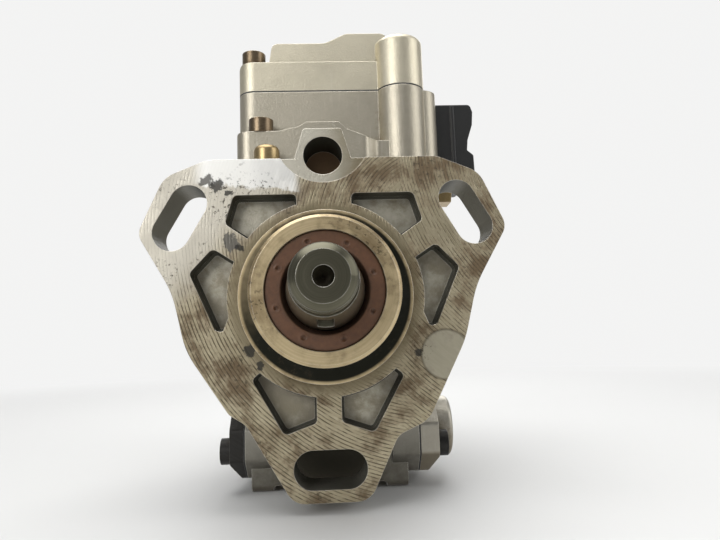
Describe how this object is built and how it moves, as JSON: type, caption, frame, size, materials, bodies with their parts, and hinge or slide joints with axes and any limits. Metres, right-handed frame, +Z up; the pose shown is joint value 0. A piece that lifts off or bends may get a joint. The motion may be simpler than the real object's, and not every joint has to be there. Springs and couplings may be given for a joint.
{
  "type": "diesel injection pump",
  "caption": "Axial-piston distributor injection pump with slotted three-ear flange, tapered drive shaft, electric quantity actuator on top, timing piston below and axial outlets",
  "frame": {"origin": "on the drive shaft's axis, in the front face of the mounting flange, where the pilot spigot begins", "axes": "+Y runs rearwards along the drive shaft, +Z is up, +X is to the right seen from the drive end"},
  "size_m": [0.1116, 0.207, 0.1614],
  "materials": {
    "cast_aluminium": "die-cast, matt",
    "machined_aluminium": "machined",
    "black_steel": "phosphated, matt",
    "steel": "ground",
    "hard_steel": "hardened and ground",
    "spring_steel": "drawn",
    "bronze": "sintered",
    "zinc_steel": "yellow zinc plate",
    "seal_rubber": "matt brown",
    "black_rubber": "matt",
    "black_plastic": "moulded",
    "copper_coil": "enamelled wire",
    "iron_core": "laminated",
    "contact_brass": "tinned"
  },
  "bodies": {
    "housing": {"pump_housing": "machined_aluminium", "shaft_bush": "bronze", "shaft_seal": "seal_rubber", "vane_pump_ring": "hard_steel", "vane_pump_plate": "steel", "timing_spring": "spring_steel", "gaskets_and_seals": "black_rubber", "timing_cover_left": "black_steel", "timing_cover_right": "cast_aluminium", "timing_cover_screws": "black_steel", "timing_valve_body": "zinc_steel", "timing_valve_coil": "black_plastic", "plunger_spring_bridge": "steel", "plunger_springs": "spring_steel", "distributor_head": "steel", "head_barrel": "hard_steel", "head_screws": "black_steel", "head_centre_plug": "zinc_steel", "delivery_valve_holders": "steel", "delivery_valve_seats": "hard_steel", "delivery_valve_springs": "spring_steel", "shutoff_solenoid": "zinc_steel", "shutoff_spring": "spring_steel", "pressure_valve_plug": "zinc_steel", "pressure_valve_spring": "spring_steel", "inlet_union": "zinc_steel", "return_union": "zinc_steel", "actuator_housing": "cast_aluminium", "actuator_cover": "cast_aluminium", "actuator_housing_screws": "zinc_steel", "connector_socket": "black_plastic", "connector_pins": "contact_brass", "actuator_core": "iron_core", "actuator_coil": "copper_coil", "actuator_bearings": "bronze", "bearing_bridge": "steel", "position_sensor": "black_plastic"},
    "drive_shaft_group": {"drive_shaft": "steel", "vane_pump_rotor": "steel", "vane_pump_vanes": "hard_steel", "coupling_disc": "hard_steel", "cam_plate": "hard_steel", "distributor_plunger": "hard_steel"},
    "roller_ring_group": {"roller_ring": "steel", "advance_pin": "hard_steel"},
    "timing_piston": {"timing_piston": "machined_aluminium"},
    "slide_block": {"advance_slide_block": "hard_steel"},
    "actuator_rotor": {"actuator_rotor": "steel"},
    "control_collar": {"control_collar": "hard_steel"},
    "shutoff_plunger": {"shutoff_plunger": "steel"},
    "timing_needle": {"timing_valve_needle": "hard_steel"},
    "pressure_piston": {"pressure_valve_piston": "hard_steel"},
    "cam_roller_1": {"cam_roller_1": "hard_steel"},
    "delivery_valve_1": {"delivery_valve_1": "hard_steel"},
    "cam_roller_2": {"cam_roller_2": "hard_steel"},
    "delivery_valve_2": {"delivery_valve_2": "hard_steel"},
    "cam_roller_3": {"cam_roller_3": "hard_steel"},
    "delivery_valve_3": {"delivery_valve_3": "hard_steel"},
    "cam_roller_4": {"cam_roller_4": "hard_steel"},
    "delivery_valve_4": {"delivery_valve_4": "hard_steel"}
  },
  "joints": [
    {"name": "drive_shaft_spin", "type": "hinge", "parent": "housing", "child": "drive_shaft_group", "pos_m": [0, 0, 0], "axis": [0, 1, 0], "continuous": true},
    {"name": "cam_roller_1_spin", "type": "hinge", "parent": "roller_ring_group", "child": "cam_roller_1", "pos_m": [0.01524, 0.0479, -0.01867], "axis": [0.6324, 0, -0.7747], "continuous": true},
    {"name": "cam_roller_2_spin", "type": "hinge", "parent": "roller_ring_group", "child": "cam_roller_2", "pos_m": [0.01867, 0.0479, 0.01524], "axis": [0.7747, 0, 0.6324], "continuous": true},
    {"name": "cam_roller_3_spin", "type": "hinge", "parent": "roller_ring_group", "child": "cam_roller_3", "pos_m": [-0.01524, 0.0479, 0.01867], "axis": [-0.6324, 0, 0.7747], "continuous": true},
    {"name": "cam_roller_4_spin", "type": "hinge", "parent": "roller_ring_group", "child": "cam_roller_4", "pos_m": [-0.01867, 0.0479, -0.01524], "axis": [-0.7747, 0, -0.6324], "continuous": true},
    {"name": "timing_piston_slide", "type": "slide", "parent": "housing", "child": "timing_piston", "axis": [1, 0, 0], "range_m": [0, 0.009], "stiffness_N_per_m": 3000, "springref_m": -0.004, "deforming": ["timing_spring"]},
    {"name": "roller_ring_turn", "type": "hinge", "parent": "housing", "child": "roller_ring_group", "pos_m": [0, 0.045, 0], "axis": [0, 1, 0], "range_deg": [-11.6, 0]},
    {"name": "slide_block_turn", "type": "hinge", "parent": "timing_piston", "child": "slide_block", "pos_m": [-0.0045, 0.045, -0.0445], "axis": [0, 1, 0], "range_deg": [-11.6, 0]},
    {"name": "actuator_turn", "type": "hinge", "parent": "housing", "child": "actuator_rotor", "pos_m": [0, 0.07549, 0.06], "axis": [0, 0, 1], "range_deg": [0, 60], "stiffness_Nm_per_rad": 0.05, "springref_deg": -17.19},
    {"name": "control_collar_slide", "type": "slide", "parent": "housing", "child": "control_collar", "axis": [0, 1, 0], "range_m": [0, 0.00351]},
    {"name": "shutoff_plunger_lift", "type": "slide", "parent": "housing", "child": "shutoff_plunger", "axis": [0, 0, 1], "range_m": [0, 0.0015], "stiffness_N_per_m": 1500, "springref_m": -0.004, "deforming": ["shutoff_spring"]},
    {"name": "timing_needle_slide", "type": "slide", "parent": "housing", "child": "timing_needle", "axis": [0, 1, 0], "range_m": [0, 0.001], "stiffness_N_per_m": 1500, "springref_m": -0.002},
    {"name": "pressure_piston_lift", "type": "slide", "parent": "housing", "child": "pressure_piston", "axis": [0, 0, 1], "range_m": [0, 0.0025], "stiffness_N_per_m": 1500, "springref_m": -0.003, "deforming": ["pressure_valve_spring"]},
    {"name": "delivery_valve_1_lift", "type": "slide", "parent": "housing", "child": "delivery_valve_1", "axis": [0, 1, 0], "range_m": [0, 0.0015], "stiffness_N_per_m": 2000, "springref_m": -0.003, "deforming": ["delivery_valve_springs"]},
    {"name": "delivery_valve_2_lift", "type": "slide", "parent": "housing", "child": "delivery_valve_2", "axis": [0, 1, 0], "range_m": [0, 0.0015], "stiffness_N_per_m": 2000, "springref_m": -0.003, "deforming": ["delivery_valve_springs"]},
    {"name": "delivery_valve_3_lift", "type": "slide", "parent": "housing", "child": "delivery_valve_3", "axis": [0, 1, 0], "range_m": [0, 0.0015], "stiffness_N_per_m": 2000, "springref_m": -0.003, "deforming": ["delivery_valve_springs"]},
    {"name": "delivery_valve_4_lift", "type": "slide", "parent": "housing", "child": "delivery_valve_4", "axis": [0, 1, 0], "range_m": [0, 0.0015], "stiffness_N_per_m": 2000, "springref_m": -0.003, "deforming": ["delivery_valve_springs"]}
  ],
  "couplings": [
    {"joint": "cam_roller_1_spin", "follows": "drive_shaft_spin", "ratio": -4.0167},
    {"joint": "cam_roller_2_spin", "follows": "drive_shaft_spin", "ratio": -4.0167},
    {"joint": "cam_roller_3_spin", "follows": "drive_shaft_spin", "ratio": -4.0167},
    {"joint": "cam_roller_4_spin", "follows": "drive_shaft_spin", "ratio": -4.0167},
    {"joint": "roller_ring_turn", "follows": "timing_piston_slide", "rad_per_m": -22.396},
    {"joint": "slide_block_turn", "follows": "timing_piston_slide", "rad_per_m": -22.396},
    {"joint": "control_collar_slide", "follows": "actuator_turn", "m_per_rad": 0.0033423}
  ]
}
